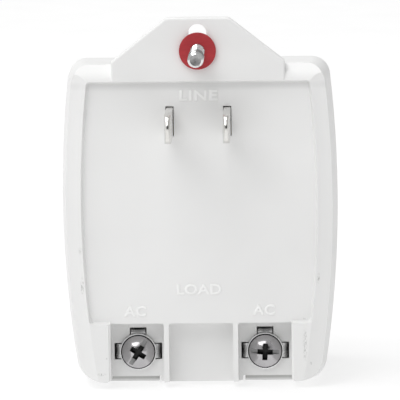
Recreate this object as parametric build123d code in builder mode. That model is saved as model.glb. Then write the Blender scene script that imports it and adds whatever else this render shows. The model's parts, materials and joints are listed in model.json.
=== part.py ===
from build123d import *
import os
from math import radians, sqrt, tan

# Plug-in transformer. Millimetres. The origin is midway between the line blades, on the plug panel.
# +X is to the right seen from the wall, +Y points from the wall into the room and +Z points up.

os.makedirs("parts", exist_ok=True)

# Line blades, to the household two-blade pattern
blade_spacing = 12.7
blade_width = 6.35
blade_thickness = 1.5
blade_reach = 16.7
blade_nose = 2.6
blade_nose_thickness = 0.7
blade_corner = 1.6
blade_hole = 3.2
blade_hole_setback = 4.8
blade_shoulder = 1.6
blade_shoulder_depth = 1.4
blade_tail_width = 4.0
blade_tail_depth = 2.0
blade_gap = 0.15

# Outline of the housing, seen from the wall
housing_half_width = 30.5
side_radius = 245.0
widest_z = -18.0
housing_top_z = 12.55
housing_bottom_z = -59.15
housing_depth = 49.1
top_corner = 4.2
bottom_corner = 5.4
flank_width = 1.3
flank_depth = 10.6
wall = 2.0
seam_depth = 18.0
front_taper = 6.2
front_edge = 3.8

# Wall side of the rear housing
panel_depth = 1.5
panel_half_width = 26.1
panel_top_z = 9.0
panel_slope = 0.45
panel_corner = 0.8
panel_thickness = 2.4
crown_width = 3.2
crown_radius = 16.0
bevel_height = 2.5
bevel_depth = 3.2
bevel_blend = 4.0

# Hanging tab and its captive screw
tab_thickness = 3.0
tab_top_half = 6.85
tab_root_half = 19.1
tab_shoulder = 0.8
tab_edge = 1.4
tab_corner = 2.0
tab_edge_round = 0.5
slot_width = 4.0
slot_high_z = 19.6
screw_diameter = 3.5
screw_neck_diameter = 3.1
screw_length = 23.6
screw_thread_length = 8.0
screw_point = 0.5
screw_dimple = 2.0
screw_dimple_depth = 0.4
screw_head_diameter = 5.7
screw_head_height = 2.2
screw_head_rim = 1.1
screw_head_gap = 0.3
screw_drive_width = 1.1
screw_drive_depth = 1.1
retainer_diameter = 8.1
retainer_thickness = 1.0

# Terminal bays, the scoop between them and the blocks beside them
terminal_half_spacing = 14.1
terminal_rise = 5.8
bay_width = 11.8
bay_headroom = 7.15
bay_depth = 6.6
bay_floor = 1.8
bay_corner = 0.6
bay_wall = 1.5
bay_floor_rise = 0.2
block_edge = 0.4
divider = 1.1
scoop_depth = 5.0
wire_gap = 0.7
web_slit = 0.55
web = 0.85
web_corner = 0.6
block_corner = 1.0

# Terminals
plate_thickness = 1.0
plate_radius = 3.85
ear_width = 3.2
ear_reach = 5.05
ear_leg = 4.4
ear_bend = 0.8
plate_gap = 0.25
collar_diameter = 5.6
collar_depth = 1.6
terminal_screw_diameter = 3.5
terminal_screw_length = 8.8
terminal_screw_point = 0.5
terminal_head_diameter = 7.2
terminal_head_height = 2.4
terminal_head_rim = 0.8
terminal_drive_width = 1.05
terminal_drive_depth = 1.2
cross_length = 3.8
cross_width = 1.15
cross_depth = 1.9
cross_taper = 12.0
left_drive_angle = -57.0
right_drive_angle = 3.0
clamp_diameter = 8.1
clamp_thickness = 0.6
clamp_lip = 0.25
clamp_lip_height = 0.55

# Iron core, in the usual proportions of scrapless laminations
tongue = 18.0
window_share = 1.5
core_gap = 0.4

# Bobbin and coils
bobbin_gap = 0.2
bobbin_tube = 1.0
flange = 1.0
flange_inset = 0.3
coil_inset = 0.9
tape = 0.4
coil_corner = 2.0
wiring_space = 5.2
front_gap = 0.6

# Posts that hold the core, and the tongue of the seam
post = 4.2
post_gap = 0.1
seam_tongue_height = 2.5
seam_tongue_wall = 1.2
seam_tongue_gap = 0.35

# Inner wiring
cutoff_diameter = 3.6
cutoff_edge = 0.3
cutoff_length = 9.0
cutoff_drop = 9.0
return_drop = 14.0
secondary_inner_drop = 22.0
secondary_outer_drop = 26.0
lead_diameter = 1.2
lead_bend = 1.2
seat_gap = 0.1

# Fits
turning_fit = 0.05
face_gap = 0.05

# Worked out from the sizes above
rim_y = -panel_depth
rim_bottom_z = housing_bottom_z + flank_width
shoulder_y = rim_y + flank_depth
seam_y = rim_y + seam_depth
front_y = rim_y + housing_depth
front_inner_y = front_y - wall
panel_inner_y = panel_thickness
side_centre_x = housing_half_width - side_radius
window = tongue / 2
yoke = tongue / 2
window_length = window_share * tongue
core_width = window_length + 2 * yoke
core_height = 2 * tongue + 2 * window
coil_rear_y = panel_inner_y + wiring_space
coil_front_y = front_inner_y - front_gap
core_y = (coil_rear_y + coil_front_y) / 2
flange_half_x = window_length / 2 - flange_inset
flange_half_y = (coil_front_y - coil_rear_y) / 2
flange_half_z = tongue / 2 + window - flange_inset
stack = 2 * (flange_half_y - window + flange_inset)
core_rear_y = core_y - stack / 2
core_front_y = core_y + stack / 2
taper_slope = tan(radians(front_taper))
core_top_z = housing_top_z - wall - (core_front_y - seam_y) * taper_slope - core_gap
core_z = core_top_z - core_height / 2
slot_low_z = housing_top_z + screw_head_diameter / 2 + screw_head_gap
tab_top_z = slot_high_z + slot_width / 2 + tab_edge
tab_shoulder_z = housing_top_z + tab_shoulder
tab_room_y = rim_y + tab_thickness
terminal_z = rim_bottom_z + terminal_rise
bay_top_z = terminal_z + bay_headroom
bay_inner_x = terminal_half_spacing - bay_width / 2
bay_outer_x = terminal_half_spacing + bay_width / 2
scoop_half_width = bay_inner_x - divider
web_x = bay_inner_x + web
block_y = bay_depth + bay_floor
leg_end_y = bay_depth + ear_leg
leg_room_y = leg_end_y + plate_gap
bay_floor_low_z = rim_bottom_z + bay_floor_rise
clear_of_part = 2 * housing_half_width


def wall_side(y):
    """A drawing plane at depth y that faces the wall, with X across and Z up."""
    return Plane(origin=(0, y, 0), x_dir=(1, 0, 0), z_dir=(0, -1, 0))


def side_x(half_width, z):
    """Half width at height z of an outline whose sides run parallel to the housing's."""
    radius = half_width - side_centre_x
    return side_centre_x + sqrt(radius**2 - (z - widest_z) ** 2)


def barrel(half_width, top_z, bottom_z, corners=None):
    """A face with straight top and bottom and bulged sides; corners gives its upper and lower radius."""
    top_x = side_x(half_width, top_z)
    bottom_x = side_x(half_width, bottom_z)
    with BuildSketch() as face:
        with BuildLine():
            Line((-top_x, top_z), (top_x, top_z))
            ThreePointArc((top_x, top_z), (half_width, widest_z), (bottom_x, bottom_z))
            Line((bottom_x, bottom_z), (-bottom_x, bottom_z))
            ThreePointArc((-bottom_x, bottom_z), (-half_width, widest_z), (-top_x, top_z))
        make_face()
        if corners:
            fillet(face.vertices().group_by(Axis.Y)[-1], corners[0])
            fillet(face.vertices().group_by(Axis.Y)[0], corners[1])
    return face.sketch


def housing_outline(inset=0.0, flank=0.0):
    """Section of the housing at the seam, drawn in by inset all round and by flank at sides and bottom."""
    return barrel(
        housing_half_width - inset - flank,
        housing_top_z - inset,
        housing_bottom_z + inset + flank,
        (top_corner - inset, bottom_corner - inset),
    )


def front_form(end_y, inset, edge):
    """Form of the front housing from the seam to end_y, tapered at the sides and the top."""
    depth = end_y - seam_y
    floor_z = housing_bottom_z + inset
    with BuildPart() as form:
        with BuildSketch(wall_side(seam_y)):
            add(barrel(housing_half_width - inset, housing_top_z - inset, floor_z - depth * taper_slope))
        extrude(amount=-depth, taper=front_taper)
        with BuildSketch(wall_side(seam_y)):
            with Locations((0, floor_z)):
                Rectangle(clear_of_part, clear_of_part, align=(Align.CENTER, Align.MAX))
        extrude(amount=-depth, mode=Mode.SUBTRACT)
        long_edges = [e for e in form.edges() if e.bounding_box().size.Y > depth / 2]
        fillet([e for e in long_edges if e.center().Z < widest_z], bottom_corner - inset)
        long_edges = [e for e in form.edges() if e.bounding_box().size.Y > depth / 2]
        fillet([e for e in long_edges if e.center().Z > widest_z], top_corner - inset)
        fillet(form.faces().sort_by(Axis.Y)[-1].edges(), edge)
    return form.part


def foot_round(x, side, radius):
    """What is cut away to round a lower corner at x, of a wall that lies towards side."""
    with BuildSketch() as corner:
        with Locations((x + side * radius / 2, housing_bottom_z + radius / 2)):
            Rectangle(radius, radius)
        with Locations((x + side * radius, housing_bottom_z + radius)):
            Circle(radius, mode=Mode.SUBTRACT)
    return corner.sketch


def post_places():
    """Centres of the four posts, over the corners of the core."""
    half_x = core_width / 2 - post / 2
    half_z = core_height / 2 - post / 2
    return [(x, core_z + z) for x in (-half_x, half_x) for z in (-half_z, half_z)]


def finish(builder, name):
    """Labels a finished piece and writes its file."""
    builder.part.label = name
    export_step(builder.part, f"parts/{name}.step")


# Hanging tab, with its edges broken on both faces
with BuildPart() as hanging_tab:
    with BuildSketch(wall_side(tab_room_y)) as tab:
        with BuildLine():
            Polyline(
                (-tab_root_half, 0),
                (-tab_root_half, tab_shoulder_z),
                (-tab_top_half, tab_top_z),
                (tab_top_half, tab_top_z),
                (tab_root_half, tab_shoulder_z),
                (tab_root_half, 0),
                close=True,
            )
        make_face()
        fillet(tab.vertices().group_by(Axis.Y)[-1], tab_corner)
    extrude(amount=tab_thickness)
    tab_faces = hanging_tab.faces().filter_by(Axis.Y)
    tab_edges = [edge for face in tab_faces for edge in face.edges() if edge.center().Z > 0]
    fillet(tab_edges, tab_edge_round)

# Rear housing: flank, crowned rim and top bevel, then the tab, the hollow
# and everything that is cut from the wall side
with BuildPart() as rear_housing:
    with BuildSketch(wall_side(rim_y)):
        add(housing_outline(flank=flank_width))
    with BuildSketch(wall_side(shoulder_y)):
        add(housing_outline())
    loft()
    with BuildSketch(wall_side(seam_y)):
        add(housing_outline())
    extrude(amount=seam_y - shoulder_y)

    # The rim falls away in a soft crown along both long sides
    rim_half_width = housing_half_width - flank_width
    crown_start = rim_half_width - crown_width
    crown_end = crown_start + 2 * crown_width
    crown_drop = crown_radius - sqrt(crown_radius**2 - 4 * crown_width**2)
    for side in (-1, 1):
        with BuildSketch(Plane.XY.offset(widest_z)):
            with BuildLine():
                RadiusArc(
                    (side * crown_start, rim_y),
                    (side * crown_end, rim_y + crown_drop),
                    side * crown_radius,
                )
                Polyline(
                    (side * crown_end, rim_y + crown_drop),
                    (side * crown_end, rim_y - panel_depth),
                    (side * crown_start, rim_y - panel_depth),
                    (side * crown_start, rim_y),
                )
            make_face()
        revolve(
            axis=Axis((side * side_centre_x, 0, widest_z), (0, 1, 0)),
            mode=Mode.SUBTRACT,
        )

    # Top bevel, blended into the rim
    with BuildSketch(Plane.YZ) as bevel:
        with BuildLine():
            FilletPolyline(
                (rim_y, panel_top_z - bevel_height),
                (rim_y, housing_top_z - bevel_height),
                (rim_y + 2 * bevel_depth, housing_top_z + bevel_height),
                radius=[bevel_blend],
            )
            Polyline(
                (rim_y + 2 * bevel_depth, housing_top_z + bevel_height),
                (rim_y - panel_depth, housing_top_z + bevel_height),
                (rim_y - panel_depth, panel_top_z - bevel_height),
                (rim_y, panel_top_z - bevel_height),
            )
        make_face()
    extrude(amount=clear_of_part, both=True, mode=Mode.SUBTRACT)

    # Hanging tab, and the hollow behind the plug panel
    add(hanging_tab.part)
    with BuildSketch(wall_side(seam_y)):
        add(housing_outline(wall))
    extrude(amount=seam_y - panel_inner_y, mode=Mode.SUBTRACT)

    # Terminal block and the posts for the core
    with BuildSketch(wall_side(block_y)):
        with Locations((0, rim_bottom_z)):
            Rectangle(
                2 * (bay_outer_x + bay_wall),
                bay_top_z + bay_wall - rim_bottom_z,
                align=(Align.CENTER, Align.MIN),
            )
    extrude(amount=block_y - panel_inner_y)
    with BuildSketch(wall_side(core_rear_y - post_gap)):
        with Locations(*post_places()):
            Rectangle(post, post)
    extrude(amount=core_rear_y - post_gap - panel_inner_y)

    # Plug panel, let into the rim with sloping sides
    with BuildSketch(wall_side(rim_y)):
        add(barrel(panel_half_width, panel_top_z, bay_top_z, (panel_corner, panel_corner)))
    with BuildSketch(wall_side(0)):
        add(
            barrel(
                panel_half_width - panel_slope,
                panel_top_z - panel_slope,
                bay_top_z + panel_slope,
                (panel_corner, panel_corner),
            )
        )
    loft(mode=Mode.SUBTRACT)

    # Mouth of the bays at the level of the panel, with rounded edges on the two blocks
    bay_run = bay_top_z + panel_slope - housing_bottom_z + wall
    with BuildSketch(wall_side(0)):
        with Locations((0, bay_top_z + panel_slope)):
            Rectangle(2 * bay_outer_x, bay_run, align=(Align.CENTER, Align.MAX))
    extrude(amount=2 * panel_depth, mode=Mode.SUBTRACT)
    for side in (-1, 1):
        with BuildSketch(Plane.XY.offset(bay_top_z + panel_slope)):
            with BuildLine():
                RadiusArc(
                    (side * bay_outer_x, rim_y + block_edge),
                    (side * (bay_outer_x + block_edge), rim_y),
                    side * block_edge,
                )
                Polyline(
                    (side * (bay_outer_x + block_edge), rim_y),
                    (side * (bay_outer_x + block_edge), rim_y - panel_depth),
                    (side * bay_outer_x, rim_y - panel_depth),
                    (side * bay_outer_x, rim_y + block_edge),
                )
            make_face()
        extrude(amount=-bay_run, mode=Mode.SUBTRACT)

    # Scoop and the two bays, open below, with the bottom wall cut back behind each bay floor
    with BuildSketch(wall_side(scoop_depth)) as scoop:
        with Locations((0, bay_top_z)):
            Rectangle(2 * scoop_half_width, bay_run, align=(Align.CENTER, Align.MAX))
        fillet(scoop.vertices().group_by(Axis.Y)[-1], bay_corner)
    extrude(amount=scoop_depth + 2 * panel_depth, mode=Mode.SUBTRACT)
    for side in (-1, 1):
        with BuildSketch(wall_side(bay_depth)) as bay:
            with Locations((side * terminal_half_spacing, bay_top_z)):
                Rectangle(bay_width, bay_run, align=(Align.CENTER, Align.MAX))
            divider_corner = bay.vertices().group_by(Axis.Y)[-1].sort_by(Axis.X)[0 if side > 0 else -1]
            fillet(divider_corner, bay_corner)
        extrude(amount=bay_depth + 2 * panel_depth, mode=Mode.SUBTRACT)
        with BuildSketch(wall_side(block_y + wire_gap)):
            with Locations((side * (web_x + bay_outer_x) / 2, bay_floor_low_z)):
                Rectangle(bay_outer_x - web_x, bay_run, align=(Align.CENTER, Align.MAX))
        extrude(amount=block_y + wire_gap - bay_depth, mode=Mode.SUBTRACT)
        with BuildSketch(wall_side(seam_y)):
            with Locations((side * (web_x + web_slit / 2), housing_bottom_z)):
                Rectangle(web_slit, 2 * wall)
        extrude(amount=seam_y - block_y, mode=Mode.SUBTRACT)
        with BuildSketch(wall_side(shoulder_y)):
            add(foot_round(side * bay_outer_x, side, block_corner))
            add(foot_round(side * web_x, -side, web_corner))
        extrude(amount=2 * flank_depth, dir=(0, -flank_depth, flank_width), mode=Mode.SUBTRACT)

        # Seat of the terminal plate: its outline let into the floor,
        # with room behind it for the legs and the collar
        with BuildSketch(wall_side(bay_depth + plate_thickness)):
            with Locations((side * terminal_half_spacing, terminal_z)):
                Circle(plate_radius + plate_gap)
                for angle in (0, 90, 180):
                    with Locations(Location((0, 0, 0), (0, 0, angle))):
                        Rectangle(
                            ear_reach + plate_gap,
                            ear_width + 2 * plate_gap,
                            align=(Align.MIN, Align.CENTER),
                        )
        extrude(amount=plate_thickness, mode=Mode.SUBTRACT)
        with BuildSketch(wall_side(leg_room_y)):
            with Locations((side * terminal_half_spacing, terminal_z)):
                Circle(collar_diameter / 2 + plate_gap)
                for angle in (0, 90, 180):
                    with Locations(Location((0, 0, 0), (0, 0, angle))):
                        with Locations((ear_reach - plate_thickness - plate_gap, 0)):
                            Rectangle(
                                plate_thickness + 2 * plate_gap,
                                ear_width + 2 * plate_gap,
                                align=(Align.MIN, Align.CENTER),
                            )
        extrude(amount=leg_room_y - bay_depth, mode=Mode.SUBTRACT)

    # Slots for the blades and for the mounting screw
    with BuildSketch(wall_side(panel_inner_y)):
        with Locations((-blade_spacing / 2, 0), (blade_spacing / 2, 0)):
            Rectangle(blade_thickness + 2 * blade_gap, blade_width + 2 * blade_gap)
    extrude(amount=panel_inner_y, mode=Mode.SUBTRACT)
    with BuildSketch(wall_side(tab_room_y)):
        with Locations((0, (slot_low_z + slot_high_z) / 2)):
            SlotCenterToCenter(slot_high_z - slot_low_z, slot_width, rotation=90)
    extrude(amount=tab_thickness, mode=Mode.SUBTRACT)
finish(rear_housing, "rear_housing")

# Front housing: tapered shell with rounded front edges, posts for the core and a tongue at the seam
with BuildPart() as front_housing:
    add(front_form(front_y, 0, front_edge))
    add(front_form(front_inner_y, wall, front_edge - wall), mode=Mode.SUBTRACT)
    with BuildSketch(wall_side(front_inner_y)):
        with Locations(*post_places()):
            Rectangle(post, post)
    extrude(amount=front_inner_y - core_front_y - post_gap)
    tongue_inset = wall + seam_tongue_gap
    with BuildSketch(wall_side(seam_y)):
        add(housing_outline(tongue_inset))
        add(housing_outline(tongue_inset + seam_tongue_wall), mode=Mode.SUBTRACT)
    extrude(amount=seam_tongue_height)
    with BuildSketch(wall_side(seam_y)):
        add(housing_outline(wall / 2))
        add(housing_outline(tongue_inset + seam_tongue_wall), mode=Mode.SUBTRACT)
    extrude(amount=-wall)
finish(front_housing, "front_housing")

# Line blades: wedge nose, hole, and a shoulder and tail behind the panel
blade_tip_y = rim_y - blade_reach
blade_shoulder_y = panel_inner_y + blade_shoulder_depth
blade_tail_y = blade_shoulder_y + blade_tail_depth
for side, hand in ((-1, "left"), (1, "right")):
    blade_x = side * blade_spacing / 2
    with BuildPart() as blade:
        with BuildSketch(Plane.YZ.offset(blade_x)) as profile:
            with Locations((blade_tip_y, 0)):
                Rectangle(
                    panel_inner_y - blade_tip_y,
                    blade_width,
                    align=(Align.MIN, Align.CENTER),
                )
            fillet(profile.vertices().group_by(Axis.X)[0], blade_corner)
            with Locations((panel_inner_y, 0)):
                Rectangle(
                    blade_shoulder_depth,
                    blade_width + 2 * blade_shoulder,
                    align=(Align.MIN, Align.CENTER),
                )
            with Locations((blade_shoulder_y, 0)):
                Rectangle(blade_tail_depth, blade_tail_width, align=(Align.MIN, Align.CENTER))
            with Locations((blade_tip_y + blade_hole_setback, 0)):
                Circle(blade_hole / 2, mode=Mode.SUBTRACT)
        extrude(amount=blade_thickness / 2, both=True)
        for face in (-1, 1):
            with BuildSketch(Plane.XY):
                with BuildLine():
                    Polyline(
                        (blade_x + face * blade_nose_thickness / 2, blade_tip_y),
                        (blade_x + face * blade_thickness / 2, blade_tip_y + blade_nose),
                        (blade_x + face * blade_thickness, blade_tip_y + blade_nose),
                        (blade_x + face * blade_thickness, blade_tip_y),
                        close=True,
                    )
                make_face()
            extrude(amount=blade_width, both=True, mode=Mode.SUBTRACT)
    finish(blade, f"line_blade_{hand}")

# Mounting screw: round slotted head on the room side of the tab, a neck through the slot and the washer,
# and a thicker threaded end that keeps the washer on, with a dimple in its tip
screw_head_y = tab_room_y + face_gap
screw_top_y = screw_head_y + screw_head_height
screw_tip_y = screw_head_y - screw_length
screw_neck_y = screw_tip_y + screw_thread_length
with BuildPart() as mounting_screw:
    with BuildSketch(Plane.XY.offset(slot_low_z)):
        with BuildLine():
            Polyline(
                (0, screw_tip_y + screw_dimple_depth),
                (screw_dimple / 2, screw_tip_y),
                (screw_diameter / 2 - screw_point, screw_tip_y),
                (screw_diameter / 2, screw_tip_y + screw_point),
                (screw_diameter / 2, screw_neck_y),
                (screw_neck_diameter / 2, screw_neck_y),
                (screw_neck_diameter / 2, screw_head_y),
                (screw_head_diameter / 2, screw_head_y),
                (screw_head_diameter / 2, screw_head_y + screw_head_rim),
            )
            TangentArc(
                (0, screw_top_y),
                (screw_head_diameter / 2, screw_head_y + screw_head_rim),
                tangent=(1, 0),
            )
            Line((0, screw_top_y), (0, screw_tip_y + screw_dimple_depth))
        make_face()
    revolve(axis=Axis((0, 0, slot_low_z), (0, 1, 0)))
    with BuildSketch(wall_side(screw_top_y)):
        with Locations((0, slot_low_z)):
            Rectangle(2 * screw_head_diameter, screw_drive_width)
    extrude(amount=screw_drive_depth, mode=Mode.SUBTRACT)
finish(mounting_screw, "mounting_screw")

# Washer that keeps the screw in its slot
with BuildPart() as screw_retaining_washer:
    with BuildSketch(wall_side(rim_y - face_gap)):
        with Locations((0, slot_low_z)):
            Circle(retainer_diameter / 2)
            Circle(screw_neck_diameter / 2 + turning_fit, mode=Mode.SUBTRACT)
    extrude(amount=retainer_thickness)
finish(screw_retaining_washer, "screw_retaining_washer")

# Terminals: plate with three bent ears and a threaded collar, cupped clamp washer and domed screw
clamp_y = bay_depth - face_gap
head_seat_y = clamp_y - clamp_thickness - face_gap
head_top_y = head_seat_y - terminal_head_height
screw_end_y = head_seat_y + terminal_screw_length
terminals = ((-1, "left", left_drive_angle), (1, "right", right_drive_angle))
for side, hand, drive_angle in terminals:
    terminal_x = side * terminal_half_spacing
    terminal_axis = Axis((terminal_x, 0, terminal_z), (0, 1, 0))

    with BuildPart() as terminal_plate:
        with BuildSketch(wall_side(bay_depth + plate_thickness)):
            with Locations((terminal_x, terminal_z)):
                Circle(plate_radius)
                for angle in (0, 90, 180):
                    with Locations(Location((0, 0, 0), (0, 0, angle))):
                        Rectangle(ear_reach, ear_width, align=(Align.MIN, Align.CENTER))
        extrude(amount=plate_thickness)
        with BuildSketch(wall_side(leg_end_y)):
            with Locations((terminal_x, terminal_z)):
                for angle in (0, 90, 180):
                    with Locations(Location((0, 0, 0), (0, 0, angle))):
                        with Locations((ear_reach - plate_thickness, 0)):
                            Rectangle(plate_thickness, ear_width, align=(Align.MIN, Align.CENTER))
        extrude(amount=ear_leg)
        with BuildSketch(wall_side(bay_depth + plate_thickness + collar_depth)):
            with Locations((terminal_x, terminal_z)):
                Circle(collar_diameter / 2)
        extrude(amount=collar_depth)
        with BuildSketch(wall_side(leg_end_y)):
            with Locations((terminal_x, terminal_z)):
                Circle(terminal_screw_diameter / 2 + turning_fit)
        extrude(amount=ear_leg, mode=Mode.SUBTRACT)
        wall_face = terminal_plate.faces().sort_by(Axis.Y)[0]
        bends = [
            edge
            for edge in wall_face.edges().filter_by(GeomType.LINE)
            if (edge.center() - Vector(terminal_x, bay_depth, terminal_z)).length > ear_reach - face_gap
        ]
        fillet(bends, ear_bend)
    finish(terminal_plate, f"terminal_plate_{hand}")

    with BuildPart() as terminal_washer:
        with BuildSketch(wall_side(clamp_y)):
            with Locations((terminal_x, terminal_z)):
                Circle(clamp_diameter / 2)
                Circle(terminal_screw_diameter / 2 + turning_fit, mode=Mode.SUBTRACT)
        extrude(amount=clamp_thickness)
        with BuildSketch(wall_side(clamp_y - clamp_thickness)):
            with Locations((terminal_x, terminal_z)):
                Circle(clamp_diameter / 2)
                Circle(clamp_diameter / 2 - clamp_lip, mode=Mode.SUBTRACT)
        extrude(amount=clamp_lip_height)
    finish(terminal_washer, f"terminal_washer_{hand}")

    with BuildPart() as terminal_screw:
        with BuildSketch(Plane((terminal_x, 0, terminal_z))):
            with BuildLine():
                Polyline(
                    (0, screw_end_y),
                    (terminal_screw_diameter / 2 - terminal_screw_point, screw_end_y),
                    (terminal_screw_diameter / 2, screw_end_y - terminal_screw_point),
                    (terminal_screw_diameter / 2, head_seat_y),
                    (terminal_head_diameter / 2, head_seat_y),
                    (terminal_head_diameter / 2, head_seat_y - terminal_head_rim),
                )
                TangentArc(
                    (0, head_top_y),
                    (terminal_head_diameter / 2, head_seat_y - terminal_head_rim),
                    tangent=(1, 0),
                )
                Line((0, head_top_y), (0, screw_end_y))
            make_face()
        revolve(axis=terminal_axis)
        with BuildSketch(wall_side(head_top_y)):
            with Locations(Location((terminal_x, terminal_z, 0), (0, 0, -drive_angle))):
                Rectangle(2 * terminal_head_diameter, terminal_drive_width)
        extrude(amount=-terminal_drive_depth, mode=Mode.SUBTRACT)
        with BuildSketch(wall_side(head_top_y)):
            with Locations(Location((terminal_x, terminal_z, 0), (0, 0, -drive_angle))):
                Rectangle(cross_length, cross_width)
                Rectangle(cross_width, cross_length)
        extrude(amount=-cross_depth, taper=cross_taper, mode=Mode.SUBTRACT)
    finish(terminal_screw, f"terminal_screw_{hand}")

# Iron core: a stack of E laminations closed by a stack of I laminations
e_back_x = -core_width / 2
i_back_x = core_width / 2
with BuildPart() as core_e_laminations:
    with BuildSketch(wall_side(core_rear_y)):
        with Locations((e_back_x, core_z)):
            Rectangle(core_width - yoke, core_height, align=(Align.MIN, Align.CENTER))
        for side in (-1, 1):
            with Locations((e_back_x + yoke, core_z + side * (tongue + window) / 2)):
                Rectangle(window_length, window, align=(Align.MIN, Align.CENTER), mode=Mode.SUBTRACT)
    extrude(amount=-stack)
finish(core_e_laminations, "core_e_laminations")

with BuildPart() as core_i_laminations:
    with BuildSketch(wall_side(core_rear_y)):
        with Locations((i_back_x, core_z)):
            Rectangle(yoke, core_height, align=(Align.MAX, Align.CENTER))
    extrude(amount=-stack)
finish(core_i_laminations, "core_i_laminations")

# Bobbin: square tube on the centre leg with two end flanges and a partition
coil_plane = Plane(origin=(0, core_y, core_z), x_dir=(0, 1, 0), z_dir=(1, 0, 0))
tube_half_y = stack / 2 + bobbin_gap + bobbin_tube
tube_half_z = tongue / 2 + bobbin_gap + bobbin_tube
with BuildPart() as bobbin:
    with BuildSketch(coil_plane):
        Rectangle(2 * tube_half_y, 2 * tube_half_z)
    extrude(amount=flange_half_x, both=True)
    for start_x in (-flange_half_x, -flange / 2, flange_half_x - flange):
        with BuildSketch(coil_plane.offset(start_x)):
            RectangleRounded(2 * flange_half_y, 2 * flange_half_z, coil_corner)
        extrude(amount=flange)
    with BuildSketch(coil_plane):
        Rectangle(stack + 2 * bobbin_gap, tongue + 2 * bobbin_gap)
    extrude(amount=window_length, both=True, mode=Mode.SUBTRACT)
finish(bobbin, "bobbin")

# Coils in the two halves of the bobbin, each under a wrap of tape
coil_length = flange_half_x - flange - flange / 2
coil_half_y = flange_half_y - coil_inset
coil_half_z = flange_half_z - coil_inset
for start_x, name in ((-flange_half_x + flange, "primary"), (flange / 2, "secondary")):
    with BuildPart() as winding:
        with BuildSketch(coil_plane.offset(start_x)):
            RectangleRounded(2 * coil_half_y, 2 * coil_half_z, coil_corner)
            Rectangle(2 * tube_half_y, 2 * tube_half_z, mode=Mode.SUBTRACT)
        extrude(amount=coil_length)
    finish(winding, f"{name}_winding")

    with BuildPart() as wrap:
        with BuildSketch(coil_plane.offset(start_x)):
            RectangleRounded(2 * (coil_half_y + tape), 2 * (coil_half_z + tape), coil_corner + tape)
            RectangleRounded(2 * coil_half_y, 2 * coil_half_z, coil_corner, mode=Mode.SUBTRACT)
        extrude(amount=coil_length)
    finish(wrap, f"{name}_tape")

# Thermal cut-out, lying on the tape of the primary below the left blade
tape_rear_y = core_y - coil_half_y - tape
cutoff_y = tape_rear_y - seat_gap - cutoff_diameter / 2
cutoff_z = -cutoff_drop
cutoff_x = -blade_spacing / 2
cutoff_axis = Plane(origin=(cutoff_x, cutoff_y, cutoff_z), x_dir=(0, 1, 0), z_dir=(1, 0, 0))
with BuildPart() as thermal_cutoff:
    with BuildSketch(cutoff_axis):
        Circle(cutoff_diameter / 2)
    extrude(amount=cutoff_length / 2, both=True)
    chamfer(thermal_cutoff.edges(), cutoff_edge)
finish(thermal_cutoff, "thermal_cutoff")


def lead(name, points):
    """A round wire along straight runs and equal bends, square at both ends."""
    with BuildPart() as wire:
        with BuildLine() as path:
            FilletPolyline(*points, radius=lead_bend)
        start = Vector(*points[0])
        heading = Vector(*points[1]) - start
        with BuildSketch(Plane(origin=start, z_dir=heading)):
            Circle(lead_diameter / 2)
        sweep(path=path.wires()[0])
    finish(wire, name)


# Leads of the primary: left blade to cut-out, cut-out to the partition, right blade to the partition
tail_mid_y = (blade_shoulder_y + blade_tail_y) / 2
flange_rear_y = core_y - flange_half_y
blade_face_x = blade_spacing / 2 + blade_thickness / 2
cutoff_left_x = cutoff_x - cutoff_length / 2
cutoff_right_x = cutoff_x + cutoff_length / 2
left_turn_x = cutoff_left_x - 2 * lead_bend
right_turn_x = blade_face_x + 2 * lead_bend
lead(
    "primary_lead_left",
    [
        (-blade_face_x, tail_mid_y, 0),
        (left_turn_x, tail_mid_y, 0),
        (left_turn_x, cutoff_y, cutoff_z),
        (cutoff_left_x, cutoff_y, cutoff_z),
    ],
)
lead(
    "cutoff_lead",
    [
        (cutoff_right_x, cutoff_y, cutoff_z),
        (0, cutoff_y, cutoff_z),
        (0, flange_rear_y, cutoff_z),
    ],
)
lead(
    "primary_lead_right",
    [
        (blade_face_x, tail_mid_y, 0),
        (right_turn_x, tail_mid_y, 0),
        (right_turn_x, cutoff_y, -return_drop),
        (0, cutoff_y, -return_drop),
        (0, flange_rear_y, -return_drop),
    ],
)

# Leads of the secondary: from the partition and the end flange, over the terminal block to the upper legs
secondary_y = flange_rear_y - 2 * lead_bend
block_pass_z = bay_top_z + bay_wall + 2 * lead_bend
leg_lead_y = (block_y + leg_end_y) / 2
leg_top_z = terminal_z + ear_reach
secondary_exits = (
    (-1, "left", 0, -secondary_inner_drop),
    (1, "right", flange_half_x - flange / 2, -secondary_outer_drop),
)
for side, hand, exit_x, exit_z in secondary_exits:
    leg_x = side * terminal_half_spacing
    lead(
        f"secondary_lead_{hand}",
        [
            (exit_x, flange_rear_y, exit_z),
            (exit_x, secondary_y, exit_z),
            (leg_x, secondary_y, block_pass_z + lead_bend),
            (leg_x, leg_lead_y, block_pass_z),
            (leg_x, leg_lead_y, leg_top_z),
        ],
    )
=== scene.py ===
import json
from math import asin, cos, pi, radians, sin

import bmesh
import bpy
from mathutils import Matrix, Vector


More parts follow.
